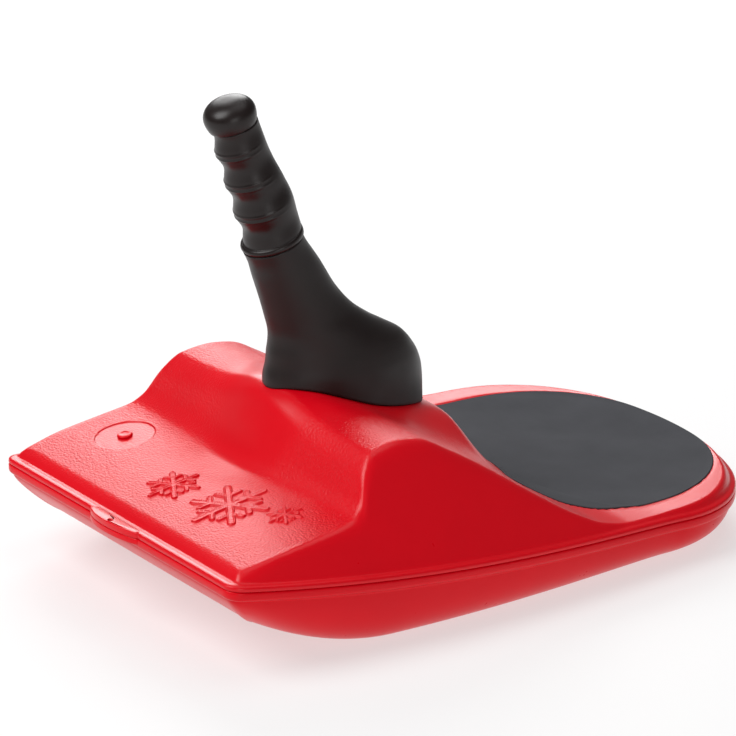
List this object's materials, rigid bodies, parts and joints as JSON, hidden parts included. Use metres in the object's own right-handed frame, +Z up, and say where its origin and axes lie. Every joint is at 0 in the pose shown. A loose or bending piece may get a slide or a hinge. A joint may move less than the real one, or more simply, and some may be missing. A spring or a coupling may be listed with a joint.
{
  "type": "stick snow sled",
  "caption": "One-person snow sled with a hollow red body, padded seat, tow hole and an upright rubber-covered stick handle.",
  "frame": {"origin": "middle of the bounding box in plan, on the ground plane the underside stands on", "axes": "+Z up, nose towards -Y, seat towards +Y, handle in the plane x = 0"},
  "size_m": [0.3858, 0.574, 0.4154],
  "materials": {
    "body_red": "satin moulded plastic, fine leather grain on the nose panel and hump",
    "seat_foam": "matte closed-cell foam",
    "handle_rubber": "satin rubber"
  },
  "bodies": {
    "root": {"deck_shell": "body_red", "hull_shell": "body_red", "vent_plug": "body_red", "seat_pad": "seat_foam", "handle_boot": "handle_rubber", "grip_sleeve": "handle_rubber", "grip_knob": "handle_rubber"}
  },
  "joints": []
}
